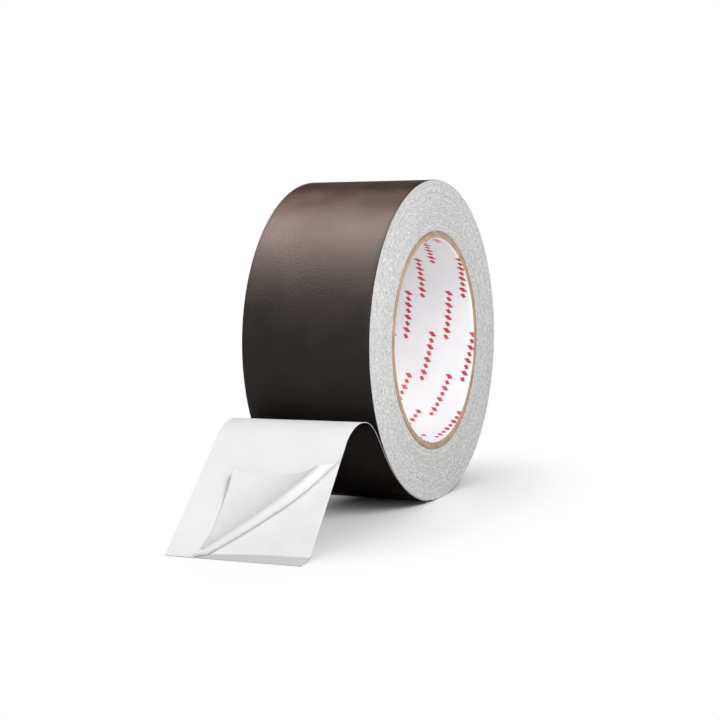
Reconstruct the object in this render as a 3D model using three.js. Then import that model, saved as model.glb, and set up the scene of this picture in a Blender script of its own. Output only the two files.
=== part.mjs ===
// A roll of backed tape on a paper core, standing on its rim with a free end
// laid out in front of it.  Millimetres, +Z up, the roll's axis along X, the
// floor at Z = 0 and the free end reaching towards -Y.
import * as THREE from "three";

// ---- the roll ----
const ROLL_RADIUS = 60;
const TAPE_WIDTH = 50;
const CORE_BORE_RADIUS = 38.1;
const LINING_THICKNESS = 0.3;
const CORE_PLY_THICKNESS = 0.9;
const RING_FACETS = 96;

// ---- the tape's three layers ----
const FILM_THICKNESS = 0.1;
const ADHESIVE_THICKNESS = 0.05;
const LINER_THICKNESS = 0.1;

// ---- where the tape leaves the roll and rises to the crest ----
const RUNNING_GAP = 0.3;
const LEAVING_ANGLE = THREE.MathUtils.degToRad(56);
const LEAVING_HANDLE = 25.8;
const CREST_FORWARD = 68.5;
const CREST_HEIGHT = 38.5;
const RISING_CREST_HANDLE = 14.5;
const RISE_SEGMENTS = 14;

// ---- the free end: crest, straight ramp, flatter toe on the floor ----
const FALLING_CREST_HANDLE = 3.6;
const RAMP_TOP_HANDLE = 5.5;
const FALL_SEGMENTS = 8;
const RAMP_SLOPE = THREE.MathUtils.degToRad(46);
const RAMP_LENGTH = 43;
const TOE_SLOPE = THREE.MathUtils.degToRad(13);
const TOE_LENGTH = 7.1;
const END_FORWARD = 116.3;

// ---- the peeled corner of the liner ----
const CORNER_ACROSS = 42.7;
const CORNER_ALONG = 33;
const FOLD_CLEAR_OF_TOE = 2.5;
const CURL_RADIUS = 2.4;
const CURL_WRAP = THREE.MathUtils.degToRad(190);
const CURL_SEGMENTS = 12;
const FLAP_TIP_FRACTION = 0.97;

const LAMINATE = FILM_THICKNESS + ADHESIVE_THICKNESS + LINER_THICKNESS;
const HALF_WIDTH = TAPE_WIDTH / 2;

const group = new THREE.Group();

function addPart(name, geometry, colour, roughness, metalness) {
  const material = new THREE.MeshStandardMaterial({
    color: colour,
    roughness: roughness,
    metalness: metalness,
  });
  const mesh = new THREE.Mesh(geometry, material);
  mesh.name = name;
  group.add(mesh);
}

// A ring about the roll's axis.  The radii are measured to the middle of the
// facets, and one facet lies flat on the floor side.
function ring(innerRadius, outerRadius) {
  const toVertex = 1 / Math.cos(Math.PI / RING_FACETS);
  const inner = innerRadius * toVertex;
  const outer = outerRadius * toVertex;
  const profile = [
    new THREE.Vector2(inner, -HALF_WIDTH),
    new THREE.Vector2(outer, -HALF_WIDTH),
    new THREE.Vector2(outer, HALF_WIDTH),
    new THREE.Vector2(inner, HALF_WIDTH),
    new THREE.Vector2(inner, -HALF_WIDTH),
  ];
  const geometry = new THREE.LatheGeometry(profile, RING_FACETS, Math.PI / RING_FACETS);
  geometry.rotateZ(-Math.PI / 2);
  geometry.translate(0, 0, ROLL_RADIUS);
  return geometry;
}

// A point of a cubic curve in the Y-Z plane.
function cubic(start, startHandle, endHandle, end, fraction) {
  const left = 1 - fraction;
  return start
    .clone()
    .multiplyScalar(left ** 3)
    .addScaledVector(startHandle, 3 * left * left * fraction)
    .addScaledVector(endHandle, 3 * left * fraction * fraction)
    .addScaledVector(end, fraction ** 3);
}

// The points of a cubic curve, both ends included.
function cubicPath(start, startHandle, endHandle, end, segments) {
  const points = [];
  for (let k = 0; k <= segments; k++) {
    points.push(cubic(start, startHandle, endHandle, end, k / segments));
  }
  return points;
}

// Turns points of the film's outer face into stations.  Each station holds the
// point, the direction through the layers at it, and how far a layer must go
// along that direction per millimetre of thickness.
function stationsOf(points, firstTangent, lastTangent) {
  const last = points.length - 1;
  return points.map((point, k) => {
    const before = k > 0 ? point.clone().sub(points[k - 1]).normalize() : firstTangent;
    const after = k < last ? points[k + 1].clone().sub(point).normalize() : lastTangent;
    let tangent = before.clone().add(after).normalize();
    if (k === 0) {
      tangent = firstTangent;
    }
    if (k === last) {
      tangent = lastTangent;
    }
    return {
      point: point,
      through: new THREE.Vector2(tangent.y, -tangent.x),
      stretch: k === 0 || k === last ? 1 : 1 / tangent.dot(before),
      left: -HALF_WIDTH,
      right: HALF_WIDTH,
    };
  });
}

// One closed solid from a row of four-cornered sections.
function solidThrough(sections) {
  const positions = [];
  const corner = (section, k) => sections[section][k % 4];
  const triangle = (a, b, c) => {
    for (const vertex of [a, b, c]) {
      positions.push(vertex.x, vertex.y, vertex.z);
    }
  };
  const last = sections.length - 1;
  for (let s = 0; s < last; s++) {
    for (let k = 0; k < 4; k++) {
      triangle(corner(s, k), corner(s + 1, k + 1), corner(s + 1, k));
      triangle(corner(s, k), corner(s, k + 1), corner(s + 1, k + 1));
    }
  }
  triangle(corner(0, 0), corner(0, 2), corner(0, 1));
  triangle(corner(0, 0), corner(0, 3), corner(0, 2));
  triangle(corner(last, 0), corner(last, 1), corner(last, 2));
  triangle(corner(last, 0), corner(last, 2), corner(last, 3));
  const geometry = new THREE.BufferGeometry();
  geometry.setAttribute("position", new THREE.Float32BufferAttribute(positions, 3));
  geometry.computeVertexNormals();
  return geometry;
}

// A layer of the tape between two depths measured from the film's outer face.
function layer(stations, nearDepth, farDepth) {
  const at = (station, x, depth) =>
    new THREE.Vector3(
      x,
      station.point.x + station.through.x * depth * station.stretch,
      station.point.y + station.through.y * depth * station.stretch,
    );
  return solidThrough(
    stations.map((station) => [
      at(station, station.left, nearDepth),
      at(station, station.right, nearDepth),
      at(station, station.right, farDepth),
      at(station, station.left, farDepth),
    ]),
  );
}

// ---- the core and the wound tape ----
const liningOuter = CORE_BORE_RADIUS + LINING_THICKNESS;
const innerPlyOuter = liningOuter + CORE_PLY_THICKNESS;
const middlePlyOuter = innerPlyOuter + CORE_PLY_THICKNESS;
const outerPlyOuter = middlePlyOuter + CORE_PLY_THICKNESS;

addPart("core_lining", ring(CORE_BORE_RADIUS, liningOuter), 0xf0edea, 0.7, 0);
addPart("core_inner_ply", ring(liningOuter, innerPlyOuter), 0xb89a84, 0.9, 0);
addPart("core_middle_ply", ring(innerPlyOuter, middlePlyOuter), 0xb29580, 0.9, 0);
addPart("core_outer_ply", ring(middlePlyOuter, outerPlyOuter), 0xa98d78, 0.9, 0);
addPart("wound_tape", ring(outerPlyOuter, ROLL_RADIUS), 0x2b292b, 0.55, 0);

// ---- the path of the free tape, as (Y, Z) points of the film's outer face ----
const leavingRadius = ROLL_RADIUS + RUNNING_GAP + LAMINATE;
const leavingPoint = new THREE.Vector2(
  -leavingRadius * Math.cos(LEAVING_ANGLE),
  ROLL_RADIUS - leavingRadius * Math.sin(LEAVING_ANGLE),
);
const leavingTangent = new THREE.Vector2(-Math.sin(LEAVING_ANGLE), Math.cos(LEAVING_ANGLE));
const forward = new THREE.Vector2(-1, 0);
const crest = new THREE.Vector2(-CREST_FORWARD, CREST_HEIGHT);
const upRamp = new THREE.Vector2(Math.cos(RAMP_SLOPE), Math.sin(RAMP_SLOPE));
const upToe = new THREE.Vector2(Math.cos(TOE_SLOPE), Math.sin(TOE_SLOPE));
const tapeEnd = new THREE.Vector2(-END_FORWARD, 0);
const toeTop = tapeEnd.clone().addScaledVector(upToe, TOE_LENGTH);
const rampTop = toeTop.clone().addScaledVector(upRamp, RAMP_LENGTH);

const risePoints = cubicPath(
  leavingPoint,
  leavingPoint.clone().addScaledVector(leavingTangent, LEAVING_HANDLE),
  crest.clone().addScaledVector(forward, -RISING_CREST_HANDLE),
  crest,
  RISE_SEGMENTS,
);
const fallPoints = cubicPath(
  crest,
  crest.clone().addScaledVector(forward, FALLING_CREST_HANDLE),
  rampTop.clone().addScaledVector(upRamp, RAMP_TOP_HANDLE),
  rampTop,
  FALL_SEGMENTS,
);

// The fold of the liner starts this far up the ramp on the left and ends
// CORNER_ALONG further up on the right edge.
const foldLow = toeTop.clone().addScaledVector(upRamp, FOLD_CLEAR_OF_TOE);
const foldHigh = foldLow.clone().addScaledVector(upRamp, CORNER_ALONG);
const foldLeft = HALF_WIDTH - CORNER_ACROSS;

const webStations = stationsOf(risePoints, leavingTangent, forward);
const tailPoints = [...fallPoints, foldHigh, foldLow, toeTop, tapeEnd];
const tailStations = stationsOf(tailPoints, forward, upToe.clone().negate());
const clippedFrom = tailPoints.indexOf(foldLow);
const clippedStations = tailStations.map((station, k) =>
  k < clippedFrom ? station : { ...station, right: foldLeft },
);

const adhesiveDepth = FILM_THICKNESS + ADHESIVE_THICKNESS;
addPart("web_film", layer(webStations, 0, FILM_THICKNESS), 0x242326, 0.6, 0);
addPart("web_adhesive", layer(webStations, FILM_THICKNESS, adhesiveDepth), 0xf4f2ef, 0.5, 0);
addPart("web_liner", layer(webStations, adhesiveDepth, LAMINATE), 0xf5f5f3, 0.7, 0);
addPart("tail_film", layer(tailStations, 0, FILM_THICKNESS), 0x242326, 0.6, 0);
addPart("tail_adhesive", layer(tailStations, FILM_THICKNESS, adhesiveDepth), 0xf4f2ef, 0.5, 0);
addPart("tail_liner", layer(clippedStations, adhesiveDepth, LAMINATE), 0xf5f5f3, 0.7, 0);

// ---- the peeled corner: a curl along the fold, then a flat flap ----
const acrossRamp = new THREE.Vector3(1, 0, 0);
const alongRamp = new THREE.Vector3(0, upRamp.x, upRamp.y);
const outOfRamp = new THREE.Vector3().crossVectors(acrossRamp, alongRamp);
const foldLength = Math.hypot(CORNER_ACROSS, CORNER_ALONG);
const foldDirection = new THREE.Vector3()
  .addScaledVector(acrossRamp, CORNER_ACROSS / foldLength)
  .addScaledVector(alongRamp, CORNER_ALONG / foldLength);
const backOverLiner = new THREE.Vector3().crossVectors(outOfRamp, foldDirection);
const cornerReach = (CORNER_ACROSS * CORNER_ALONG) / foldLength;
const cornerFoot = CORNER_ACROSS ** 2 / foldLength;
const linerMiddle = adhesiveDepth + LINER_THICKNESS / 2;
const foldStart = new THREE.Vector3(foldLeft, foldLow.x, foldLow.y).addScaledVector(
  outOfRamp,
  linerMiddle,
);

// A section of the peeled liner: how far it is from the fold along the liner,
// where its middle is, and the direction from its outer to its inner face.
function peeledSection(distance, back, rise, inwardBack, inwardRise) {
  const fraction = distance / cornerReach;
  const from = fraction * cornerFoot;
  const to = foldLength - fraction * (foldLength - cornerFoot);
  const half = LINER_THICKNESS / 2;
  const at = (along, depth) =>
    foldStart
      .clone()
      .addScaledVector(foldDirection, along)
      .addScaledVector(backOverLiner, back + inwardBack * depth)
      .addScaledVector(outOfRamp, rise + inwardRise * depth);
  return [at(from, -half), at(to, -half), at(to, half), at(from, half)];
}

const curlSections = [];
for (let k = 0; k <= CURL_SEGMENTS; k++) {
  const turn = (CURL_WRAP * k) / CURL_SEGMENTS;
  curlSections.push(
    peeledSection(
      CURL_RADIUS * turn,
      -CURL_RADIUS * Math.sin(turn),
      CURL_RADIUS * (1 - Math.cos(turn)),
      Math.sin(turn),
      Math.cos(turn),
    ),
  );
}

const creaseDistance = CURL_RADIUS * CURL_WRAP;
const creaseBack = -CURL_RADIUS * Math.sin(CURL_WRAP);
const creaseRise = CURL_RADIUS * (1 - Math.cos(CURL_WRAP));
const flapSections = [creaseDistance, cornerReach * FLAP_TIP_FRACTION].map((distance) => {
  const beyond = distance - creaseDistance;
  return peeledSection(
    distance,
    creaseBack - beyond * Math.cos(CURL_WRAP),
    creaseRise + beyond * Math.sin(CURL_WRAP),
    Math.sin(CURL_WRAP),
    Math.cos(CURL_WRAP),
  );
});

addPart("liner_curl", solidThrough(curlSections), 0xececea, 0.7, 0);
addPart("liner_flap", solidThrough(flapSections), 0xe6e6e4, 0.75, 0);

export default group;
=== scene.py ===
# %% [markdown]
# # A roll of foil tape with its release liner peeled at one corner
# The object is a wide black foil tape wound on a paper core.  The free end
# arches off the roll and slopes down to the floor with its white liner up,
# and one corner of the liner is peeled back.  This lesson keeps the measured
# model as a fixed frame and builds a finer surface over each of its pieces.

# %% Load the measured model
import math

import bpy
import numpy as np
from mathutils import Matrix, Vector


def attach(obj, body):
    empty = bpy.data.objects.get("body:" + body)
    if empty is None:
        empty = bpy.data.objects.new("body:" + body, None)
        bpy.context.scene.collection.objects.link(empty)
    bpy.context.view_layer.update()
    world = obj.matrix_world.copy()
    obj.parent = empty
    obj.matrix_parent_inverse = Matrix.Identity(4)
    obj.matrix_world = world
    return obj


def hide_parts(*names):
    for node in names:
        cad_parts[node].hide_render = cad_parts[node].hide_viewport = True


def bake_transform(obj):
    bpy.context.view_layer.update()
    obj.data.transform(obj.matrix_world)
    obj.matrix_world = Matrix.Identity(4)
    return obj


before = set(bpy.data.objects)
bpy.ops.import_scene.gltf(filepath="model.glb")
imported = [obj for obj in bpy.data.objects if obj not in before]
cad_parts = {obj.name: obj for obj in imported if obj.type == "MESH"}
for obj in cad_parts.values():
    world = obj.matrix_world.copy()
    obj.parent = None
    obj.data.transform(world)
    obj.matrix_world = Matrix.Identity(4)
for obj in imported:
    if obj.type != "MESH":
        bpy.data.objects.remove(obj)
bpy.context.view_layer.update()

# %% [markdown]
# ## Sizes
# All lengths are metres.  The roll stands on the floor with its axis along X,
# so its centre is one radius above the floor.  The tape's three layers are
# the black foil, the adhesive on its inner side and the liner over that.

# %% Sizes of the roll and of the tape
MM = 0.001
ROLL_RADIUS = 60 * MM
HALF_WIDTH = 25 * MM
BORE_RADIUS = 38.1 * MM
LINING = 0.3 * MM
PLY = 0.9 * MM
CORE_OUTER = BORE_RADIUS + LINING + 3 * PLY
TURNS = 76
TURN = (ROLL_RADIUS - CORE_OUTER) / TURNS
FILM = 0.10 * MM
ADHESIVE = 0.05 * MM
LINER = 0.10 * MM
print("one turn of tape is", round(TURN / MM, 3), "mm thick")

# %% [markdown]
# ## From numbers to a mesh
# A surface here is a grid of points worked out with numpy.  Three helpers
# turn a grid into faces: an open grid, a grid that closes on itself in both
# directions, like the skin of a ring, and a slab, which is two grids a small
# distance apart joined round their border.  The faces are turned round when
# the enclosed volume comes out negative, so they always point outwards.

# %% Helpers that make meshes
def grid_corners(rows, columns, close_rows, close_columns):
    """Row and column numbers of the four corners of every quad of a grid."""
    i = np.arange(rows if close_rows else rows - 1)[:, None]
    j = np.arange(columns if close_columns else columns - 1)[None, :]
    i, j = np.broadcast_arrays(i, j)
    ring_i = np.stack([i, i + 1, i + 1, i], -1)
    ring_j = np.stack([j, j, j + 1, j + 1], -1)
    return ring_i.reshape(-1, 4), ring_j.reshape(-1, 4)


def volume_of(points, quads):
    """Signed volume: each triangle with the origin makes a small pyramid."""
    a, b, c, d = (points[quads[:, k]] for k in range(4))
    first = np.einsum("ij,ij->i", a, np.cross(b, c)).sum()
    second = np.einsum("ij,ij->i", a, np.cross(c, d)).sum()
    return (first + second) / 6


def mesh_object(name, points, quads, uv=None):
    """A smooth-shaded object of quads, facing outwards, with an optional UV."""
    if volume_of(points, quads) < 0:
        quads = quads[:, ::-1]
        uv = None if uv is None else uv[:, ::-1]
    mesh = bpy.data.meshes.new(name)
    mesh.vertices.add(len(points))
    mesh.vertices.foreach_set("co", points.astype(np.float32).ravel())
    mesh.loops.add(quads.size)
    mesh.loops.foreach_set("vertex_index", quads.astype(np.int32).ravel())
    mesh.polygons.add(len(quads))
    mesh.polygons.foreach_set("loop_start", np.arange(0, quads.size, 4, dtype=np.int32))
    mesh.update(calc_edges=True)
    if uv is not None:
        layer = mesh.uv_layers.new(name="surface")
        layer.data.foreach_set("uv", uv.astype(np.float32).ravel())
    mesh.polygons.foreach_set("use_smooth", np.ones(len(quads), bool))
    mesh.validate()
    made = bpy.data.objects.new(name, mesh)
    bpy.context.scene.collection.objects.link(made)
    return made


def ring_object(name, x, radius, turn_angles):
    """A closed ring about the roll's axis: x and radius are (profile, angle) arrays."""
    rows, columns = radius.shape
    angle = np.broadcast_to(turn_angles, radius.shape)
    points = np.stack(
        [x, radius * np.sin(angle), ROLL_RADIUS + radius * np.cos(angle)], -1
    ).reshape(-1, 3)
    i, j = grid_corners(rows, columns, True, True)
    quads = (i % rows) * columns + j % columns
    along = np.append(x[:, 0], x[0, 0])
    uv = np.stack([along[i], j / columns], -1)
    return mesh_object(name, points, quads, uv)


def slab_object(name, near, far, uv_grid=None):
    """A thin solid between two grids of the same size, closed round the border."""
    rows, columns = near.shape[:2]
    count = rows * columns
    i, j = grid_corners(rows, columns, False, False)
    face = i * columns + j
    numbers = np.arange(count).reshape(rows, columns)
    border = np.concatenate(
        [numbers[0, :-1], numbers[:-1, -1], numbers[-1, :0:-1], numbers[:0:-1, 0]]
    )
    after = np.roll(border, -1)
    side = np.stack([border, border + count, after + count, after], -1)
    quads = np.concatenate([face[:, ::-1], face + count, side[:, ::-1]])
    points = np.concatenate([near.reshape(-1, 3), far.reshape(-1, 3)])
    uv = None
    if uv_grid is not None:
        flat = np.tile(uv_grid.reshape(-1, 2), (2, 1))
        uv = flat[quads]
    made = mesh_object(name, points, quads, uv)
    made.data.set_sharp_from_angle(angle=math.radians(50))
    return made


print("helpers ready")

# %% [markdown]
# ## Nodes without the clicking
# A material is a small graph of nodes.  This helper adds a node, sets its
# plain values by socket name and joins its inputs to other nodes' outputs.

# %% Helpers for shader nodes
def node(tree, kind, values=None, **properties):
    """Adds a shader node; a value that is a socket is linked, others are set."""
    made = tree.nodes.new(kind)
    for key, value in properties.items():
        setattr(made, key, value)
    for key, value in (values or {}).items():
        if isinstance(value, bpy.types.NodeSocket):
            tree.links.new(value, made.inputs[key])
        else:
            made.inputs[key].default_value = value
    return made


def new_material(name):
    """An empty node material with its output and Principled BSDF joined."""
    material = bpy.data.materials.new(name)
    material.use_nodes = True
    tree = material.node_tree
    tree.nodes.clear()
    output = node(tree, "ShaderNodeOutputMaterial")
    principled = node(tree, "ShaderNodeBsdfPrincipled")
    tree.links.new(principled.outputs[0], output.inputs["Surface"])
    return material, tree, principled


def maths(tree, operation, a, b=0.0):
    """A Math node and its result."""
    return node(tree, "ShaderNodeMath", {0: a, 1: b}, operation=operation).outputs[0]


def ramp(tree, value, low, high, to_low=0.0, to_high=1.0, smooth=True):
    """Maps value from low..high to to_low..to_high, held at the ends."""
    kind = "SMOOTHSTEP" if smooth else "LINEAR"
    made = node(
        tree,
        "ShaderNodeMapRange",
        {0: value, 1: low, 2: high, 3: to_low, 4: to_high},
        interpolation_type=kind,
    )
    return made.outputs[0]


def mixed(tree, factor, first, second, blend="MIX"):
    """Mixes two colours by a factor from 0 to 1."""
    made = node(tree, "ShaderNodeMix", data_type="RGBA", blend_type=blend)
    for index, value in ((0, factor), (6, first), (7, second)):
        if isinstance(value, bpy.types.NodeSocket):
            tree.links.new(value, made.inputs[index])
        else:
            made.inputs[index].default_value = value
    return made.outputs[2]


def new_group(name, inputs, outputs):
    """A shader node group; inputs and outputs are (name, socket type, value)."""
    group = bpy.data.node_groups.new(name, "ShaderNodeTree")
    for title, kind, value in inputs:
        socket = group.interface.new_socket(title, in_out="INPUT", socket_type=kind)
        if value is not None:
            socket.default_value = value
    for title, kind, _ in outputs:
        group.interface.new_socket(title, in_out="OUTPUT", socket_type=kind)
    start = group.nodes.new("NodeGroupInput")
    end = group.nodes.new("NodeGroupOutput")
    return group, start, end


def use_group(tree, group, values):
    """Places a node group in a material with its own values."""
    made = node(tree, "ShaderNodeGroup")
    made.node_tree = group
    for key, value in values.items():
        if isinstance(value, bpy.types.NodeSocket):
            tree.links.new(value, made.inputs[key])
        else:
            made.inputs[key].default_value = value
    return made


print("node helpers ready")

# %% [markdown]
# ## Two effects that several finishes share
# Paper is never one flat white: soft clouds of tone and short fibres show in
# it, so a group called paper tone mixes a light and a dark colour by noise
# and puts out a height for a little relief.  The second group finds where a
# point lies on the roll: its distance from the axis, and which turn it is on.

# %% Build the shared groups
FLOAT, COLOUR, VECTOR = "NodeSocketFloat", "NodeSocketColor", "NodeSocketVector"


def make_paper_tone():
    """Cloudy tone plus fine fibres from two noises of different size."""
    group, start, end = new_group(
        "paper tone",
        [
            ("Coordinates", VECTOR, None),
            ("Light", COLOUR, (0.9, 0.9, 0.9, 1)),
            ("Dark", COLOUR, (0.8, 0.8, 0.8, 1)),
            ("Cloud Scale", FLOAT, 60.0),
            ("Fibre Scale", FLOAT, 1800.0),
        ],
        [("Colour", COLOUR, None), ("Height", FLOAT, None)],
    )
    place = start.outputs["Coordinates"]
    cloud = node(
        group, "ShaderNodeTexNoise",
        {"Vector": place, "Scale": start.outputs["Cloud Scale"], "Detail": 3.0},
    )
    fibre = node(
        group, "ShaderNodeTexNoise",
        {
            "Vector": place,
            "Scale": start.outputs["Fibre Scale"],
            "Detail": 4.0,
            "Roughness": 0.65,
            "Distortion": 0.4,
        },
    )
    both = maths(group, "ADD", maths(group, "MULTIPLY", cloud.outputs[0], 0.6),
                 maths(group, "MULTIPLY", fibre.outputs[0], 0.4))
    share = ramp(group, both, 0.38, 0.62)
    colour = mixed(group, share, start.outputs["Dark"], start.outputs["Light"])
    group.links.new(colour, end.inputs["Colour"])
    group.links.new(fibre.outputs[0], end.inputs["Height"])
    return group


def make_roll_place():
    """Radius from the roll's axis, turn number along the wound spiral."""
    group, start, end = new_group(
        "place on the roll",
        [("Coordinates", VECTOR, None)],
        [("Radius", FLOAT, None), ("Turn", FLOAT, None), ("Stretched", VECTOR, None)],
    )
    split = node(group, "ShaderNodeSeparateXYZ", {0: start.outputs[0]})
    across = split.outputs[1]
    height = maths(group, "SUBTRACT", split.outputs[2], ROLL_RADIUS)
    squared = maths(group, "ADD", maths(group, "MULTIPLY", across, across),
                    maths(group, "MULTIPLY", height, height))
    radius = maths(group, "SQRT", squared)
    angle = maths(group, "ARCTAN2", across, height)
    wound = maths(group, "DIVIDE", angle, 2 * math.pi)
    turn = maths(group, "ADD", maths(group, "DIVIDE", radius, TURN), wound)
    stretched = node(
        group, "ShaderNodeCombineXYZ",
        {
            0: radius,
            1: maths(group, "MULTIPLY", across, 0.3),
            2: maths(group, "MULTIPLY", height, 0.3),
        },
    )
    group.links.new(radius, end.inputs["Radius"])
    group.links.new(turn, end.inputs["Turn"])
    group.links.new(stretched.outputs[0], end.inputs["Stretched"])
    return group


paper_tone = make_paper_tone()
roll_place = make_roll_place()
print("shared groups:", [g.name for g in bpy.data.node_groups])

# %% [markdown]
# ## The black foil face
# The foil is matt black with a fine embossed grain that catches a soft, warm
# sheen under a top light.  Black this deep has almost no diffuse colour, so it
# is a very dark metal: a rough, weak lobe with a warm tint, and a dark edge
# tint, so that the reflection grows little at a glancing view.
# The grain is a cell pattern in a Bump node, far too fine to model.

# %% Black foil
def foil_material():
    """Matt black, fine grain in the bump, a warm tint in the specular."""
    material, tree, surface = new_material("black foil")
    place = node(tree, "ShaderNodeTexCoord").outputs["Object"]
    grain = node(
        tree, "ShaderNodeTexVoronoi", {"Vector": place, "Scale": 2300.0, "Randomness": 0.85},
        feature="SMOOTH_F1",
    )
    clouds = node(tree, "ShaderNodeTexNoise", {"Vector": place, "Scale": 45.0, "Detail": 2.0})
    tone = use_group(
        tree, paper_tone,
        {
            "Coordinates": place,
            "Light": (0.0275, 0.0240, 0.0228, 1),
            "Dark": (0.0235, 0.0206, 0.0198, 1),
            "Cloud Scale": 90.0,
            "Fibre Scale": 2600.0,
        },
    )
    tree.links.new(tone.outputs["Colour"], surface.inputs["Base Color"])
    rough = ramp(tree, clouds.outputs[0], 0.35, 0.65, 0.42, 0.48)
    tree.links.new(rough, surface.inputs["Roughness"])
    bump = node(
        tree, "ShaderNodeBump",
        {"Height": grain.outputs["Distance"], "Strength": 0.55, "Distance": 0.0001},
    )
    tree.links.new(bump.outputs[0], surface.inputs["Normal"])
    surface.inputs["Metallic"].default_value = 1.0
    surface.inputs["Specular Tint"].default_value = (0.35, 0.32, 0.30, 1)
    return material


black_foil = foil_material()
print("made", black_foil.name)

# %% [markdown]
# ## The wound edges
# The side of the roll is the cut edge of every turn.  White liner, adhesive
# and a hair of foil alternate every quarter of a millimetre, which the eye
# reads as a pale grey speckle in fine circles.  The geometry carries a real
# step for each turn; the finish adds the thin darker foil line of each turn
# and streaks that follow the circles.

# %% Cut edges of the turns
def edge_material():
    """Pale speckle: circles from the turn number, streaks from stretched noise."""
    material, tree, surface = new_material("wound edges")
    place = node(tree, "ShaderNodeTexCoord").outputs["Object"]
    spot = use_group(tree, roll_place, {"Coordinates": place})
    inside_turn = maths(tree, "FRACT", spot.outputs["Turn"])
    foil_line = ramp(tree, maths(tree, "ABSOLUTE", maths(tree, "SUBTRACT", inside_turn, 0.5)),
                     0.30, 0.46)
    streak = node(
        tree, "ShaderNodeTexNoise",
        {"Vector": spot.outputs["Stretched"], "Scale": 2600.0, "Detail": 3.0, "Roughness": 0.7},
    )
    speck = node(
        tree, "ShaderNodeTexNoise",
        {"Vector": place, "Scale": 2900.0, "Detail": 2.0, "Roughness": 0.8},
    )
    broken = ramp(tree, speck.outputs[0], 0.42, 0.60)
    dark = maths(tree, "MULTIPLY", foil_line, broken)
    light = ramp(tree, streak.outputs[0], 0.36, 0.64)
    colour = mixed(tree, light, (0.385, 0.381, 0.381, 1), (0.71, 0.705, 0.702, 1))
    whole_turn = maths(tree, "FLOOR", spot.outputs["Turn"])
    tone = node(tree, "ShaderNodeTexWhiteNoise", {"W": whole_turn}, noise_dimensions="1D")
    turn_grey = ramp(tree, tone.outputs["Value"], 0.0, 1.0, 0.86, 1.06, smooth=False)
    grey = node(tree, "ShaderNodeCombineColor", {0: turn_grey, 1: turn_grey, 2: turn_grey})
    colour = mixed(tree, 1.0, colour, grey.outputs[0], "MULTIPLY")
    colour = mixed(tree, maths(tree, "MULTIPLY", dark, 0.7), colour, (0.15, 0.147, 0.147, 1))
    tree.links.new(colour, surface.inputs["Base Color"])
    rough = ramp(tree, speck.outputs[0], 0.3, 0.7, 0.45, 0.65)
    tree.links.new(rough, surface.inputs["Roughness"])
    bump = node(
        tree, "ShaderNodeBump",
        {"Height": streak.outputs[0], "Strength": 0.5, "Distance": 0.00012},
    )
    tree.links.new(bump.outputs[0], surface.inputs["Normal"])
    surface.inputs["Specular IOR Level"].default_value = 0.35
    return material


wound_edges = edge_material()
print("made", wound_edges.name)

# %% [markdown]
# ## The wound tape itself
# One closed skin makes the whole wound body: out across the black face, in
# along one cut side, back through the bore and out along the other side.
# On the sides each turn gets four points, so that the liner stands a few
# hundredths of a millimetre proud of the foil, and each turn is wound a
# little to one side of the next, as on a real machine-wound roll.

# %% Profile and relief of the wound tape
random = np.random.default_rng(20261120)
ANGLE_STEPS = 144
ANGLES = np.arange(ANGLE_STEPS) / ANGLE_STEPS * 2 * math.pi
POINTS_PER_TURN = 4
LAYER_STEPS = np.array([-0.035, 0.02, 0.045, 0.01])
TURN_SHIFT = 0.022
TURN_SWAY = 0.018
SHOULDER = 0.12 * MM
FOIL_DEPTH = 0.11 * MM

side_count = TURNS * POINTS_PER_TURN
side_radius = CORE_OUTER + (np.arange(side_count) + 0.5) / POINTS_PER_TURN * TURN
turn_of = np.arange(side_count) // POINTS_PER_TURN
step_of = np.arange(side_count) % POINTS_PER_TURN


def side_relief():
    """How far each side point stands out: the layer's step plus its turn's wander."""
    layer_step = LAYER_STEPS[step_of] * MM
    shift = random.normal(0, TURN_SHIFT, TURNS)[turn_of] * MM
    sway = random.normal(0, TURN_SWAY, TURNS)[turn_of] * MM
    phase = random.uniform(0, 2 * math.pi, TURNS)[turn_of]
    wander = shift[:, None] + sway[:, None] * np.cos(ANGLES[None, :] + phase[:, None])
    return layer_step[:, None] + wander


def wound_tape_object():
    """Face, side, bore and side in turn, each point carried round the axis."""
    rounding = np.linspace(0, math.pi / 2, 4)[1:-1]
    face_x = np.linspace(-HALF_WIDTH + SHOULDER, HALF_WIDTH - SHOULDER, 26)
    full = np.ones((1, len(ANGLES)))
    corner_x = HALF_WIDTH - SHOULDER + SHOULDER * np.sin(rounding)
    corner_r = ROLL_RADIUS - SHOULDER + SHOULDER * np.cos(rounding)
    bore_x = np.linspace(HALF_WIDTH - 0.05 * MM, -HALF_WIDTH + 0.05 * MM, 5)
    inner = CORE_OUTER + 0.002 * MM
    side_r = side_radius[::-1, None] * full
    x = np.concatenate([
        face_x[:, None] * full,
        corner_x[:, None] * full,
        HALF_WIDTH + side_relief()[::-1],
        bore_x[:, None] * full,
        -HALF_WIDTH - side_relief(),
        -corner_x[::-1, None] * full,
    ])
    radius = np.concatenate([
        np.full((len(face_x), 1), ROLL_RADIUS) * full,
        corner_r[:, None] * full,
        side_r,
        np.full((len(bore_x), 1), inner) * full,
        side_r[::-1],
        corner_r[::-1, None] * full,
    ])
    return ring_object("wound_tape_turns", x, radius, ANGLES)


wound_tape = wound_tape_object()
print("wound tape:", len(wound_tape.data.polygons), "faces")

# %% Give the face and the sides their own finishes
def share_faces(made, materials, choose):
    """Each face takes the material that choose(centres) gives it by number."""
    for material in materials:
        made.data.materials.append(material)
    centres = np.zeros(len(made.data.polygons) * 3, np.float32)
    made.data.polygons.foreach_get("center", centres)
    picked = choose(centres.reshape(-1, 3)).astype(np.int32)
    made.data.polygons.foreach_set("material_index", picked)
    made.data.update()


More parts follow.
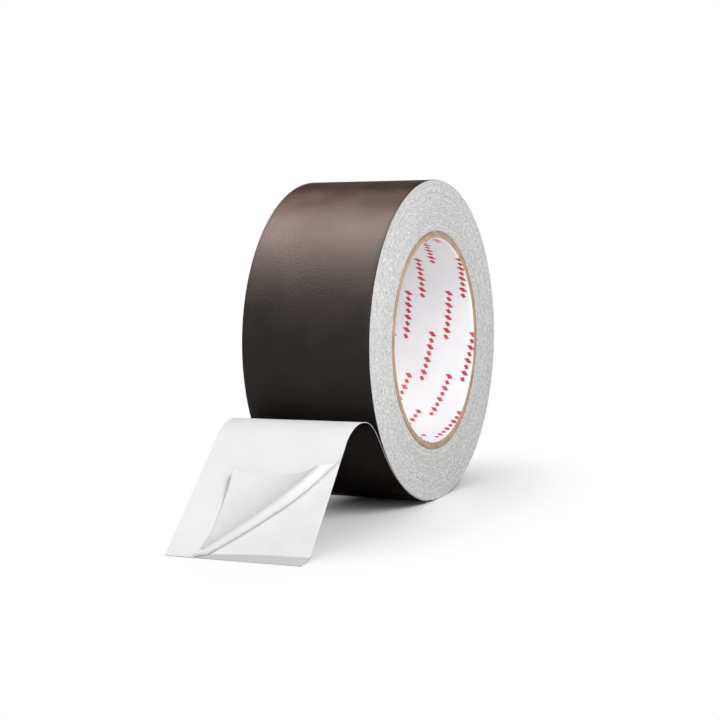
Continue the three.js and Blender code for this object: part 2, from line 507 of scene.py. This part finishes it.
def face_or_side(centres):
    """0 on the outer face, 1 elsewhere."""
    radius = np.hypot(centres[:, 1], centres[:, 2] - ROLL_RADIUS)
    return radius < ROLL_RADIUS - FOIL_DEPTH


share_faces(wound_tape, [black_foil, wound_edges], face_or_side)
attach(wound_tape, "roll")
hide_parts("wound_tape")
print("wound tape rides on the roll")

# %% [markdown]
# ## The kraft core
# The core is spirally wound kraft board, three plies thick, cut square by a
# knife that leaves the end slightly ragged.  Each ply is its own ring.  The
# cut ends get a small random relief; the finish is brown board with darker and
# lighter fibres.

# %% Kraft board
def kraft_material(name, light, dark):
    """Brown fibres: the paper tone group on long stretched coordinates."""
    material, tree, surface = new_material(name)
    place = node(tree, "ShaderNodeTexCoord").outputs["Object"]
    spot = use_group(tree, roll_place, {"Coordinates": place})
    tone = use_group(
        tree, paper_tone,
        {
            "Coordinates": spot.outputs["Stretched"],
            "Light": light,
            "Dark": dark,
            "Cloud Scale": 500.0,
            "Fibre Scale": 5200.0,
        },
    )
    tree.links.new(tone.outputs["Colour"], surface.inputs["Base Color"])
    bump = node(
        tree, "ShaderNodeBump",
        {"Height": tone.outputs["Height"], "Strength": 0.7, "Distance": 0.00012},
    )
    tree.links.new(bump.outputs[0], surface.inputs["Normal"])
    rough = ramp(tree, tone.outputs["Height"], 0.3, 0.7, 0.85, 0.95)
    tree.links.new(rough, surface.inputs["Roughness"])
    surface.inputs["Specular IOR Level"].default_value = 0.2
    return material


def ply_object(name, inner, outer, ragged):
    """A ring of board whose two cut ends wander by a few hundredths."""
    across = 7
    wall = np.linspace(inner, outer, across)
    length = np.linspace(-HALF_WIDTH, HALF_WIDTH, 9)[1:-1]
    full = np.ones((1, len(ANGLES)))
    rough_end = random.normal(0, ragged, (across, len(ANGLES)))
    rough_end += random.normal(0, ragged, (across, 1))
    rough_back = random.normal(0, ragged, (across, len(ANGLES)))
    x = np.concatenate([
        HALF_WIDTH - 0.12 * MM + rough_end,
        length[::-1, None] * full,
        -HALF_WIDTH + 0.12 * MM + rough_back,
        length[:, None] * full,
    ])
    radius = np.concatenate([
        wall[::-1, None] * full,
        np.full((len(length), 1), inner) * full,
        wall[:, None] * full,
        np.full((len(length), 1), outer) * full,
    ])
    return ring_object(name, x, radius, ANGLES)


kraft_tones = [
    ((0.50, 0.37, 0.27, 1), (0.36, 0.26, 0.185, 1)),
    ((0.46, 0.335, 0.245, 1), (0.33, 0.235, 0.165, 1)),
    ((0.42, 0.305, 0.225, 1), (0.26, 0.18, 0.13, 1)),
]
ply_names = ["core_inner_ply", "core_middle_ply", "core_outer_ply"]
for number, (ply_name, (light, dark)) in enumerate(zip(ply_names, kraft_tones)):
    start = BORE_RADIUS + LINING + number * PLY
    board = ply_object(ply_name + "_board", start, start + PLY - 0.01 * MM, 0.03 * MM)
    board.data.materials.append(kraft_material(ply_name + " kraft", light, dark))
    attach(board, "roll")
    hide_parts(ply_name)
    print(board.name, "from radius", round(start / MM, 2), "mm")

# %% [markdown]
# ## The printed lining
# A thin white paper lines the bore.  It is printed in crimson with one small
# mark repeated in staggered columns.  The mark here is a plain row of leaning
# lozenges, drawn in the shader: the lining's own UV map gives the distance
# across the roll and the share of a full turn, a cell repeats, and inside
# each cell a lozenge is where |p| + |q| is small.

# %% Printed lining paper
MARK_ROWS = 7
MARK_COLUMN = 17.5 * MM
MARK_LENGTH = 21.0 * MM
MARK_HEIGHT = 4.2 * MM
LOZENGES = 8
MARK_LEAN = math.radians(-9)
MARK_SHIFT = (11.9 * MM, -36.6 * MM)


def make_marks_group():
    """1 inside a leaning row of lozenges that repeats in cells, else 0."""
    group, start, end = new_group(
        "lozenge marks",
        [("Across", FLOAT, 0.0), ("Around", FLOAT, 0.0)],
        [("Mark", FLOAT, None)],
    )
    row_pitch = 2 * math.pi * BORE_RADIUS / MARK_ROWS
    cell_across = maths(group, "SUBTRACT", maths(
        group, "FRACT", maths(group, "DIVIDE", start.outputs["Across"], MARK_COLUMN)), 0.5)
    cell_around = maths(group, "SUBTRACT", maths(
        group, "FRACT", maths(group, "DIVIDE", start.outputs["Around"], row_pitch)), 0.5)
    across = maths(group, "MULTIPLY", cell_across, MARK_COLUMN)
    around = maths(group, "MULTIPLY", cell_around, row_pitch)
    lean_cos, lean_sin = math.cos(MARK_LEAN), math.sin(MARK_LEAN)
    along = maths(group, "ADD", maths(group, "MULTIPLY", around, lean_cos),
                  maths(group, "MULTIPLY", across, lean_sin))
    over = maths(group, "SUBTRACT", maths(group, "MULTIPLY", across, lean_cos),
                 maths(group, "MULTIPLY", around, lean_sin))
    slanted = maths(group, "SUBTRACT", along, maths(group, "MULTIPLY", over, 0.35))
    step = MARK_LENGTH / LOZENGES
    number = maths(group, "DIVIDE", slanted, step)
    local = maths(group, "SUBTRACT", maths(group, "FRACT", number), 0.5)
    odd = maths(group, "FRACT", maths(group, "MULTIPLY", maths(group, "FLOOR", number), 0.5))
    tall = maths(group, "SUBTRACT", 0.5, maths(group, "MULTIPLY", odd, 0.32))
    p = maths(group, "ABSOLUTE", maths(group, "DIVIDE", local, 0.42))
    q = maths(group, "ABSOLUTE", maths(group, "DIVIDE",
              maths(group, "DIVIDE", over, MARK_HEIGHT), tall))
    diamond = maths(group, "ADD", p, q)
    inside = ramp(group, diamond, 0.86, 1.0, 1.0, 0.0)
    length = maths(group, "ABSOLUTE", slanted)
    short = maths(group, "LESS_THAN", length, MARK_LENGTH / 2)
    group.links.new(maths(group, "MULTIPLY", inside, short), end.inputs["Mark"])
    return group


lozenge_marks = make_marks_group()
print("marks repeat", MARK_ROWS, "times round the bore")

# %% Lining material and ring
def lining_material():
    """White paper, two staggered sets of crimson marks worn by fine noise."""
    material, tree, surface = new_material("printed lining paper")
    coordinates = node(tree, "ShaderNodeTexCoord")
    place = coordinates.outputs["Object"]
    split = node(tree, "ShaderNodeSeparateXYZ", {0: coordinates.outputs["UV"]})
    girth = 2 * math.pi * BORE_RADIUS
    around = maths(tree, "ADD", maths(tree, "MULTIPLY", split.outputs[1], girth), MARK_SHIFT[1])
    across = maths(tree, "ADD", split.outputs[0], MARK_SHIFT[0])
    first = use_group(tree, lozenge_marks, {"Across": across, "Around": around})
    second = use_group(
        tree, lozenge_marks,
        {
            "Across": maths(tree, "ADD", across, MARK_COLUMN / 2),
            "Around": maths(tree, "ADD", around, girth / MARK_ROWS / 2),
        },
    )
    marks = maths(tree, "MAXIMUM", first.outputs[0], second.outputs[0])
    tone = use_group(
        tree, paper_tone,
        {
            "Coordinates": place,
            "Light": (0.88, 0.88, 0.895, 1),
            "Dark": (0.84, 0.84, 0.86, 1),
            "Cloud Scale": 70.0,
            "Fibre Scale": 2400.0,
        },
    )
    worn = ramp(tree, tone.outputs["Height"], 0.30, 0.48, 0.72, 1.0)
    ink = maths(tree, "MULTIPLY", marks, worn)
    colour = mixed(tree, ink, tone.outputs["Colour"], (0.56, 0.022, 0.05, 1))
    tree.links.new(colour, surface.inputs["Base Color"])
    bump = node(
        tree, "ShaderNodeBump",
        {"Height": tone.outputs["Height"], "Strength": 0.25, "Distance": 0.00005},
    )
    tree.links.new(bump.outputs[0], surface.inputs["Normal"])
    rough = ramp(tree, ink, 0.0, 1.0, 0.62, 0.5)
    tree.links.new(rough, surface.inputs["Roughness"])
    surface.inputs["Specular IOR Level"].default_value = 0.25
    return material


def lining_object():
    """A thin tube whose edge laps a little unevenly at both ends."""
    full = np.ones((1, len(ANGLES)))
    length = np.linspace(-HALF_WIDTH + 0.25 * MM, HALF_WIDTH - 0.25 * MM, 40)
    edge = 0.05 * MM * np.sin(3 * ANGLES + 0.7) + random.normal(0, 0.02 * MM, len(ANGLES))
    stretch = 1 + edge[None, :] / HALF_WIDTH * np.abs(length[:, None] / HALF_WIDTH) ** 8
    x = np.concatenate([length[::-1, None] * stretch[::-1], length[:, None] * stretch])
    radius = np.concatenate([
        np.full((len(length), 1), BORE_RADIUS) * full,
        np.full((len(length), 1), BORE_RADIUS + LINING - 0.01 * MM) * full,
    ])
    return ring_object("core_lining_paper", x, radius, ANGLES)


lining = lining_object()
lining.data.materials.append(lining_material())
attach(lining, "roll")
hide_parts("core_lining")
print("lining:", len(lining.data.polygons), "faces")

# %% [markdown]
# ## The path of the free tape
# The free tape is one strip: it hugs the underside of the roll, leaves it,
# rises to a crest, turns over and slopes down to the floor.  Stiff foil
# bends only one way, so a column of points across the tape always stays
# nearly level, but the two edges differ a little: the left edge runs straight
# to the floor and the right edge is steeper and ends in a flatter toe.  Each
# column has its own profile of joined arcs, straight lines and cubic curves,
# and the slopes blend from the left edge to the right one.

# %% Profile of every column of the strip
LEAVING_ANGLE = math.radians(56)
HUG_ANGLE = math.radians(22)
CLEAR_OF_ROLL = 0.06 * MM
FACE_RADIUS = ROLL_RADIUS + FILM + ADHESIVE + LINER + CLEAR_OF_ROLL
TOE_REACH = 7.0 * MM
TOE_ROUNDING = 2.2
TOE_SLOPE = math.radians(9)
RAMP_TOP = 33.2 * MM
TOP_HANDLE = 5.2 * MM
CREST_HANDLE = 4.0 * MM
RISE_HANDLE = 14.5 * MM
LEAVING_HANDLE = 25.8 * MM


def across_share(x):
    """0 at the left edge, 1 at the right edge."""
    return (x + HALF_WIDTH) / (2 * HALF_WIDTH)


def from_left(left, more, x):
    """A value at the left edge plus what it gains by the right edge."""
    return left + more * across_share(x)


def ramp_slope(x):
    """The ramp is steeper at its right edge."""
    return np.radians(from_left(42.7, 5.9, x))


def toe_length(x):
    """No toe at the left corner, its full reach at the right edge."""
    return TOE_REACH * (1 - (1 - across_share(x)) ** TOE_ROUNDING)


def cubic(p0, p1, p2, p3, t):
    """A cubic curve through p0 and p3, pulled towards p1 and p2."""
    u = 1 - t
    return (
        p0[..., None] * u**3
        + 3 * p1[..., None] * u * u * t
        + 3 * p2[..., None] * u * t * t
        + p3[..., None] * t**3
    )


def strip_profiles(x):
    """(y, z) of the foil's outer face for each x, from the free end to the roll."""
    slope, toe = ramp_slope(x), toe_length(x)
    end_y = from_left(-116.4, 1.0, x) * MM
    toe_y = end_y + toe * math.cos(TOE_SLOPE)
    toe_z = toe * math.sin(TOE_SLOPE)
    crest_y = from_left(-68.9, 1.2, x) * MM
    crest_z = from_left(38.45, 0.25, x) * MM
    top_z = RAMP_TOP + 0 * x
    top_y = toe_y + (top_z - toe_z) / np.tan(slope)
    t_toe = np.linspace(0, 1, 9)[:-1]
    t_ramp = np.linspace(0, 1, 61)[:-1]
    t_fall = np.linspace(0, 1, 31)[:-1]
    t_rise = np.linspace(0, 1, 81)[:-1]
    t_hug = np.linspace(0, 1, 21)
    toe_part = (
        end_y[:, None] + (toe_y - end_y)[:, None] * t_toe,
        toe_z[:, None] * t_toe,
    )
    ramp_part = (
        toe_y[:, None] + (top_y - toe_y)[:, None] * t_ramp,
        toe_z[:, None] + (top_z - toe_z)[:, None] * t_ramp,
    )
    fall_part = (
        cubic(top_y, top_y + TOP_HANDLE * np.cos(slope), crest_y - CREST_HANDLE, crest_y, t_fall),
        cubic(top_z, top_z + TOP_HANDLE * np.sin(slope), crest_z, crest_z, t_fall),
    )
    leave = np.array([math.cos(LEAVING_ANGLE), math.sin(LEAVING_ANGLE)])
    leave_y = -FACE_RADIUS * leave[0] + 0 * x
    leave_z = ROLL_RADIUS - FACE_RADIUS * leave[1] + 0 * x
    rise_part = (
        cubic(crest_y, crest_y + RISE_HANDLE, leave_y - LEAVING_HANDLE * leave[1], leave_y,
              t_rise),
        cubic(crest_z, crest_z, leave_z + LEAVING_HANDLE * leave[0], leave_z, t_rise),
    )
    hug = LEAVING_ANGLE + HUG_ANGLE * t_hug
    hug_part = (
        -FACE_RADIUS * np.cos(hug)[None, :] + 0 * x[:, None],
        ROLL_RADIUS - FACE_RADIUS * np.sin(hug)[None, :] + 0 * x[:, None],
    )
    parts = [toe_part, ramp_part, fall_part, rise_part, hug_part]
    return tuple(np.concatenate([part[k] for part in parts], 1) for k in (0, 1))


def strip_grid(x, start, samples):
    """Points and normals of the strip, each column from its own start length.

    The length s is measured from the free end.  Samples are spread evenly
    along s, and the normal points to the liner's side.
    """
    y, z = strip_profiles(x)
    s = np.concatenate(
        [np.zeros((len(x), 1)), np.cumsum(np.hypot(np.diff(y), np.diff(z)), 1)], 1
    )
    wanted = start[:, None] + (s[:, -1] - start)[:, None] * samples[None, :]
    grid_y = np.array([np.interp(w, a, b) for w, a, b in zip(wanted, s, y)])
    grid_z = np.array([np.interp(w, a, b) for w, a, b in zip(wanted, s, z)])
    points = np.stack([np.broadcast_to(x[:, None], grid_y.shape), grid_y, grid_z], -1)
    down_strip = np.gradient(points, axis=1)
    to_right = np.gradient(points, x, axis=0)
    normal = np.cross(to_right, down_strip)
    normal /= np.linalg.norm(normal, axis=-1, keepdims=True)
    uv = np.stack([np.broadcast_to(x[:, None], wanted.shape), wanted], -1)
    return points, normal, uv


CUT_LEFT = -15.0 * MM
CUT_UP = 42.0 * MM
CUT_SWEEP = 4.5 * MM
SWEEP_FROM = 0.6


def fold_line(x):
    """Length from the free end to the fold: straight, then sweeping up the edge."""
    share = np.clip((x - CUT_LEFT) / (HALF_WIDTH - CUT_LEFT), 0, 1)
    sweep = np.clip((share - SWEEP_FROM) / (1 - SWEEP_FROM), 0, 1)
    return share * CUT_UP + CUT_SWEEP * sweep**2


columns_x = np.concatenate([
    np.linspace(-HALF_WIDTH, CUT_LEFT, 9)[:-1],
    np.linspace(CUT_LEFT, HALF_WIDTH, 33),
])
even = np.linspace(0, 1, 260)
base, through, strip_uv = strip_grid(columns_x, 0 * columns_x, even)

# %% [markdown]
# ## Liner and adhesive finishes
# The liner is smooth white release paper.  Its hidden side, which shows on
# the peeled corner, is a slightly greyer release coat.  The adhesive is white
# too; its flatter toe at the free end carries a band of painted shade.  All
# three are fully matt, with only a trace of relief.

# %% Papers and adhesive
def paper_material(name, light, dark, rough, relief, cloud):
    """A paper or coat: the tone group for colour, its height for relief."""
    material, tree, surface = new_material(name)
    place = node(tree, "ShaderNodeTexCoord").outputs["Object"]
    tone = use_group(
        tree, paper_tone,
        {
            "Coordinates": place,
            "Light": light,
            "Dark": dark,
            "Cloud Scale": cloud,
            "Fibre Scale": 1900.0,
        },
    )
    tree.links.new(tone.outputs["Colour"], surface.inputs["Base Color"])
    varied = ramp(tree, tone.outputs["Height"], 0.3, 0.7, rough - 0.04, rough + 0.04)
    tree.links.new(varied, surface.inputs["Roughness"])
    bump = node(
        tree, "ShaderNodeBump",
        {"Height": tone.outputs["Height"], "Strength": relief, "Distance": 0.00005},
    )
    tree.links.new(bump.outputs[0], surface.inputs["Normal"])
    surface.inputs["Specular IOR Level"].default_value = 0.0
    return material


liner_paper = paper_material(
    "white liner paper", (0.80, 0.80, 0.797, 1), (0.775, 0.775, 0.772, 1), 0.6, 0.03, 55.0)
release_coat = paper_material(
    "grey release coat", (0.755, 0.745, 0.745, 1), (0.71, 0.70, 0.70, 1), 0.5, 0.03, 80.0)


def painted_toe_shade(material):
    """Painted shade: darkens the last few millimetres, up to the line where the flatter toe ends.
    """
    tree = material.node_tree
    surface = next(n for n in tree.nodes if n.type == "BSDF_PRINCIPLED")
    clean = surface.inputs["Base Color"].links[0].from_socket
    flat = node(tree, "ShaderNodeUVMap", uv_map="surface")
    place = node(tree, "ShaderNodeSeparateXYZ", {0: flat.outputs[0]})
    left = maths(tree, "SUBTRACT", 0.5, maths(tree, "DIVIDE", place.outputs[0], 2 * HALF_WIDTH))
    rounded = maths(tree, "SUBTRACT", 1.0, maths(tree, "POWER", left, TOE_ROUNDING))
    beyond = maths(tree, "SUBTRACT", place.outputs[1],
                   maths(tree, "MULTIPLY", rounded, TOE_REACH))
    # Painted shade: up to 0.30 of a dark grey is mixed into the adhesive over the flatter toe.
    grey = ramp(tree, beyond, -0.7 * MM, 0.5 * MM, 0.30, 0.0)
    tree.links.new(mixed(tree, grey, clean, (0.13, 0.11, 0.11, 1)), surface.inputs["Base Color"])


adhesive_coat = paper_material(
    "white adhesive", (0.755, 0.750, 0.747, 1), (0.72, 0.715, 0.712, 1), 0.5, 0.04, 120.0)
# Painted shade on the adhesive's flatter toe at the free end.
painted_toe_shade(adhesive_coat)
print("papers:", liner_paper.name, release_coat.name, adhesive_coat.name)

# %% [markdown]
# ## The three layers of the free tape
# Each layer is a slab between two depths along the strip's normal.  The
# liner's columns start later where the corner has been peeled away: the fold
# runs straight from a point on the end edge and sweeps up the right edge.


def strip_layer(name, points, normal, uv, near_depth, far_depth, material):
    """One layer of the strip: a slab between two depths along the strip's normal."""
    made = slab_object(name, points + normal * near_depth, points + normal * far_depth, uv)
    made.data.materials.append(material)
    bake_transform(made)
    return made


foil_strip = strip_layer("free_tape_foil", base, through, strip_uv, 0, FILM, black_foil)
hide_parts("web_film", "tail_film")

adhesive_strip = strip_layer(
    "free_tape_adhesive", base, through, strip_uv, FILM, FILM + ADHESIVE, adhesive_coat)
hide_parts("web_adhesive", "tail_adhesive")
print("foil and adhesive strips made")

# %% Build the liner that is still stuck down
liner_start = fold_line(columns_x)
liner_base, liner_through, liner_uv = strip_grid(columns_x, liner_start, even)
liner_strip = strip_layer(
    "free_tape_liner", liner_base, liner_through, liner_uv,
    FILM + ADHESIVE, FILM + ADHESIVE + LINER, liner_paper)
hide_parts("web_liner", "tail_liner")

# %% [markdown]
# ## The peeled corner
# The corner leaves the adhesive along the fold line, turns up and back in a
# small round bend and then lies over the liner, lifting again a little at its
# tip.  Its section is found by walking along it: the heading is a circle's
# inside the bend and changes slowly past it, and the running sums of the
# heading's cosine and sine give the place.  The bend is rounder towards the
# tape's right edge, and paper that would sink into the liner lies on it.

# %% Shape of the peeled corner
BEND_LEFT = 0.8 * MM
BEND_RIGHT = 2.2 * MM
BEND_TURN = 3.68
UNBEND = -0.066 / MM
UNBEND_MORE = 0.00135 / MM**2
LYING = 0.22 * MM
LYING_SOFTNESS = 0.25 * MM
PAST_UPRIGHT = 2.0
WALK_STEPS = 240
TIP_REACH = 0.985


def peel_section(distance, bend_radius):
    """Back and rise of a point that far from the fold, for each bend radius."""
    walk = np.linspace(0, 1, WALK_STEPS)[None, :] * distance.max() + 0 * bend_radius[:, None]
    beyond = np.maximum(walk - bend_radius[:, None] * BEND_TURN, 0)
    heading = np.where(
        beyond > 0,
        BEND_TURN + beyond * UNBEND + beyond**2 * UNBEND_MORE,
        walk / bend_radius[:, None],
    )
    piece = walk[0, 1] - walk[0, 0]
    middle = (heading[:, 1:] + heading[:, :-1]) / 2
    start = np.zeros((len(bend_radius), 1))
    back = np.concatenate([start, np.cumsum(-np.cos(middle) * piece, 1)], 1)
    rise = np.concatenate([start, np.cumsum(np.sin(middle) * piece, 1)], 1)
    rows = zip(distance, walk, back, rise, heading)
    found = [[np.interp(d, w, a) for a in (b, r, h)] for d, w, b, r, h in rows]
    return (np.array([f[k] for f in found]) for k in range(3))


def peeled_grid(rows, columns):
    """The corner's middle surface: rows go along the fold, columns away from it.

    The fold's direction is taken along its straight part, before the sweep.
    """
    leg_across, leg_up = HALF_WIDTH - CUT_LEFT, CUT_UP
    fold = math.hypot(leg_across, leg_up)
    reach = leg_across * leg_up / fold
    foot = leg_across**2 / fold
    away = (1 - (1 - np.linspace(0, 1, columns)) ** 1.15)[None, :] * TIP_REACH
    share = np.linspace(0, 1, rows)[:, None]
    along = away * foot + (fold - away * fold) * share
    distance = away * reach + 0 * share
    line = along / fold
    x = CUT_LEFT + line * leg_across
    flat_x = np.linspace(CUT_LEFT, HALF_WIDTH, 200)
    straight_to = 110
    points, normal, _ = strip_grid(flat_x, fold_line(flat_x), np.array([0.0, 0.01]))
    fold_points = points[:, 0] + normal[:, 0] * (FILM + ADHESIVE + LINER / 2)

    def at_fold(values):
        return np.stack([np.interp(x, flat_x, values[:, k]) for k in range(3)], -1)

    root, out = at_fold(fold_points), at_fold(normal[:, 0])
    direction = fold_points[straight_to] - fold_points[0]
    direction /= np.linalg.norm(direction)
    back_way = np.cross(out, direction)
    radius = BEND_LEFT + (BEND_RIGHT - BEND_LEFT) * line**0.6
    shape = line.shape
    back, rise, heading = (
        value.reshape(shape)
        for value in peel_section(distance.reshape(-1, 1), radius.reshape(-1))
    )
    gap = rise - LYING
    lying = LYING + (gap + np.sqrt(gap**2 + LYING_SOFTNESS**2)) / 2
    over = np.clip(heading - PAST_UPRIGHT, 0, 1)
    rise = rise + over * (lying - rise)
    surface = root + back_way * back[..., None] + out * rise[..., None]
    inward = back_way * np.sin(heading)[..., None] + out * np.cos(heading)[..., None]
    uv = np.stack([along, distance], -1)
    return surface, inward, uv


peeled, inward, peeled_uv = peeled_grid(rows=90, columns=110)
print("peeled corner tip at", (peeled[0, -1] / MM).round(2), "mm")

# %% Build the peeled corner and split its two sides' finishes
peeled_corner = slab_object(
    "peeled_liner_corner", peeled - inward * LINER / 2, peeled + inward * LINER / 2, peeled_uv)


def outer_or_inner(made, grid_quads):
    """The first face of the slab is the release side, the rest is plain liner."""
    picked = np.ones(len(made.data.polygons), np.int32)
    picked[:grid_quads] = 0
    for material in (release_coat, liner_paper):
        made.data.materials.append(material)
    made.data.polygons.foreach_set("material_index", picked)
    made.data.update()


outer_or_inner(peeled_corner, (peeled.shape[0] - 1) * (peeled.shape[1] - 1))
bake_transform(peeled_corner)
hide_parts("liner_curl", "liner_flap")
print("peeled corner:", len(peeled_corner.data.polygons), "faces")

# %% [markdown]
# ## Floor and background
# The floor is a wide pale plane.  Seen directly it has to come out white
# while still holding the soft shadow, so its colour is a little lighter for
# camera, glossy and transmission rays than for bounced light, and for those
# rays it fades to plain white away from the roll.  The world is white for the
# same rays and dim for the light it gives.

# %% Floor
FLOOR_GREY = 0.8
FLOOR_SEEN = 0.90
FADE_PLACE = (-0.3, 0.16, 0)
FADE_SCALE = (14, 6.5, 0)
FADE_START, FADE_END = 0.34, 0.86


def seen_rays(tree):
    """1 for camera, glossy and transmission rays, else 0."""
    rays = node(tree, "ShaderNodeLightPath")
    mirrored = maths(tree, "MAXIMUM", rays.outputs["Is Glossy Ray"],
                     rays.outputs["Is Transmission Ray"])
    return maths(tree, "MAXIMUM", rays.outputs["Is Camera Ray"], mirrored)


def floor_material():
    """Pale floor: diffuse near the roll, plain white emission further out."""
    material = bpy.data.materials.new("pale floor")
    material.use_nodes = True
    tree = material.node_tree
    tree.nodes.clear()
    output = node(tree, "ShaderNodeOutputMaterial")
    seen = seen_rays(tree)
    lighter = maths(tree, "MULTIPLY", seen, FLOOR_SEEN - FLOOR_GREY)
    tone = maths(tree, "ADD", FLOOR_GREY, lighter)
    colour = node(tree, "ShaderNodeCombineColor", {0: tone, 1: tone, 2: tone})
    diffuse = node(tree, "ShaderNodeBsdfDiffuse", {"Color": colour.outputs[0]})
    white = node(tree, "ShaderNodeEmission", {"Strength": 1.0})
    place = node(tree, "ShaderNodeTexCoord").outputs["Object"]
    oval = node(
        tree, "ShaderNodeMapping",
        {"Vector": place, "Location": FADE_PLACE, "Scale": FADE_SCALE},
    )
    far = node(tree, "ShaderNodeVectorMath", {0: oval.outputs[0]}, operation="LENGTH")
    outside = ramp(tree, far.outputs["Value"], FADE_START, FADE_END)
    fade = maths(tree, "MULTIPLY", outside, seen)
    mix = node(tree, "ShaderNodeMixShader", {0: fade})
    tree.links.new(diffuse.outputs[0], mix.inputs[1])
    tree.links.new(white.outputs[0], mix.inputs[2])
    tree.links.new(mix.outputs[0], output.inputs["Surface"])
    return material


def floor_object():
    """A square plane, four metres across, at the height the roll stands on."""
    reach = 2.0
    corners = [(-reach, -reach, 0), (reach, -reach, 0), (reach, reach, 0), (-reach, reach, 0)]
    mesh = bpy.data.meshes.new("floor")
    mesh.from_pydata(corners, [], [(0, 1, 2, 3)])
    made = bpy.data.objects.new("floor", mesh)
    bpy.context.scene.collection.objects.link(made)
    mesh.materials.append(floor_material())
    return made


floor = floor_object()
print("floor at z = 0")

# %% World
AMBIENT = 0.36
world = bpy.data.worlds.new("studio")
bpy.context.scene.world = world
world.use_nodes = True
sky = world.node_tree
sky.nodes.clear()
sky_output = node(sky, "ShaderNodeOutputWorld")
strength = maths(sky, "ADD", AMBIENT, maths(sky, "MULTIPLY", seen_rays(sky), 1.0 - AMBIENT))
background = node(sky, "ShaderNodeBackground", {"Color": (1, 1, 1, 1), "Strength": strength})
sky.links.new(background.outputs[0], sky_output.inputs["Surface"])
print("world gives", AMBIENT, "of white as soft light")

# %% [markdown]
# ## Lamps
# Four lamps light the object: a key and a lower one to the front right for the
# side of the roll and the slope of the tape, a soft one in front and a soft
# one behind to the left.  Two warm panels above on the left are switched off
# for diffuse light.  They light glossy reflections only, which here is mostly
# the sheen of the foil.

# %% Lamps
def lamp(name, azimuth, elevation, distance, size, watts, colour=(1, 1, 1)):
    """A square lamp aimed at the roll from a compass angle (0 front, 90 right)."""
    light = bpy.data.lights.new(name, "AREA")
    light.shape = "SQUARE"
    light.size = size
    light.energy = watts
    light.color = colour
    made = bpy.data.objects.new(name, light)
    bpy.context.scene.collection.objects.link(made)
    a, e = math.radians(azimuth), math.radians(elevation)
    away = np.array([math.sin(a) * math.cos(e), -math.cos(a) * math.cos(e), math.sin(e)])
    made.location = Vector(np.array([0, 0, ROLL_RADIUS]) + away * distance)
    made.rotation_mode = "QUATERNION"
    made.rotation_quaternion = Vector(away).to_track_quat("Z", "Y")
    return made


WARM = (1.0, 0.93, 0.88)
lamps = [
    lamp("key_right", 60, 35, 0.45, 0.22, 1.38),
    lamp("low_right", 52, 14, 0.33, 0.15, 0.18),
    lamp("front_fill", 2, 22, 0.9, 0.5, 1.4),
    lamp("back_left_fill", 238, 32, 1.0, 0.6, 1.5),
]
sheen_panels = [
    lamp("foil_sheen_panel", -110, 62, 0.8, 0.5, 18.0, colour=WARM),
    lamp("foil_sheen_front", -54, 57.7, 0.8, 0.5, 8.5, colour=WARM),
]
for panel in sheen_panels:
    panel.visible_diffuse = False
print("lamps:", [made.name for made in lamps + sheen_panels])

# %% [markdown]
# ## Camera
# A long lens close to the floor looks at the roll from the front right.  The
# camera's own axes are worked out from its compass angle and height, with a
# slight roll, and put straight into its matrix.

# %% Camera
CAMERA_DISTANCE = 640 * MM
CAMERA_AZIMUTH = math.radians(25.578)
CAMERA_ELEVATION = math.radians(6.669)
CAMERA_ROLL = math.radians(-1.663)
CAMERA_SIDEWAYS = -6.536 * MM
CAMERA_RAISE = -7.806 * MM
CAMERA_LENS = 83.785
CAMERA_SENSOR = 36


def make_camera():
    """Right, up and back axes as columns, and the place along back."""
    a, e, r = CAMERA_AZIMUTH, CAMERA_ELEVATION, CAMERA_ROLL
    back = np.array([math.sin(a) * math.cos(e), -math.cos(a) * math.cos(e), math.sin(e)])
    right = np.array([math.cos(a), math.sin(a), 0.0])
    up = np.cross(back, right)
    aim = np.array([0, 0, ROLL_RADIUS]) + right * CAMERA_SIDEWAYS + up * CAMERA_RAISE
    rolled_right = right * math.cos(r) + up * math.sin(r)
    rolled_up = up * math.cos(r) - right * math.sin(r)
    place = aim + back * CAMERA_DISTANCE
    data = bpy.data.cameras.new("camera")
    data.lens = CAMERA_LENS
    data.sensor_width = CAMERA_SENSOR
    made = bpy.data.objects.new("camera", data)
    bpy.context.scene.collection.objects.link(made)
    columns = np.stack([rolled_right, rolled_up, back, place], 1)
    made.matrix_world = Matrix(np.vstack([columns, [0, 0, 0, 1]]).tolist())
    return made


bpy.context.scene.camera = make_camera()
bpy.context.scene.view_settings.view_transform = "Standard"
print("camera at", [round(c, 3) for c in bpy.context.scene.camera.matrix_world.translation])
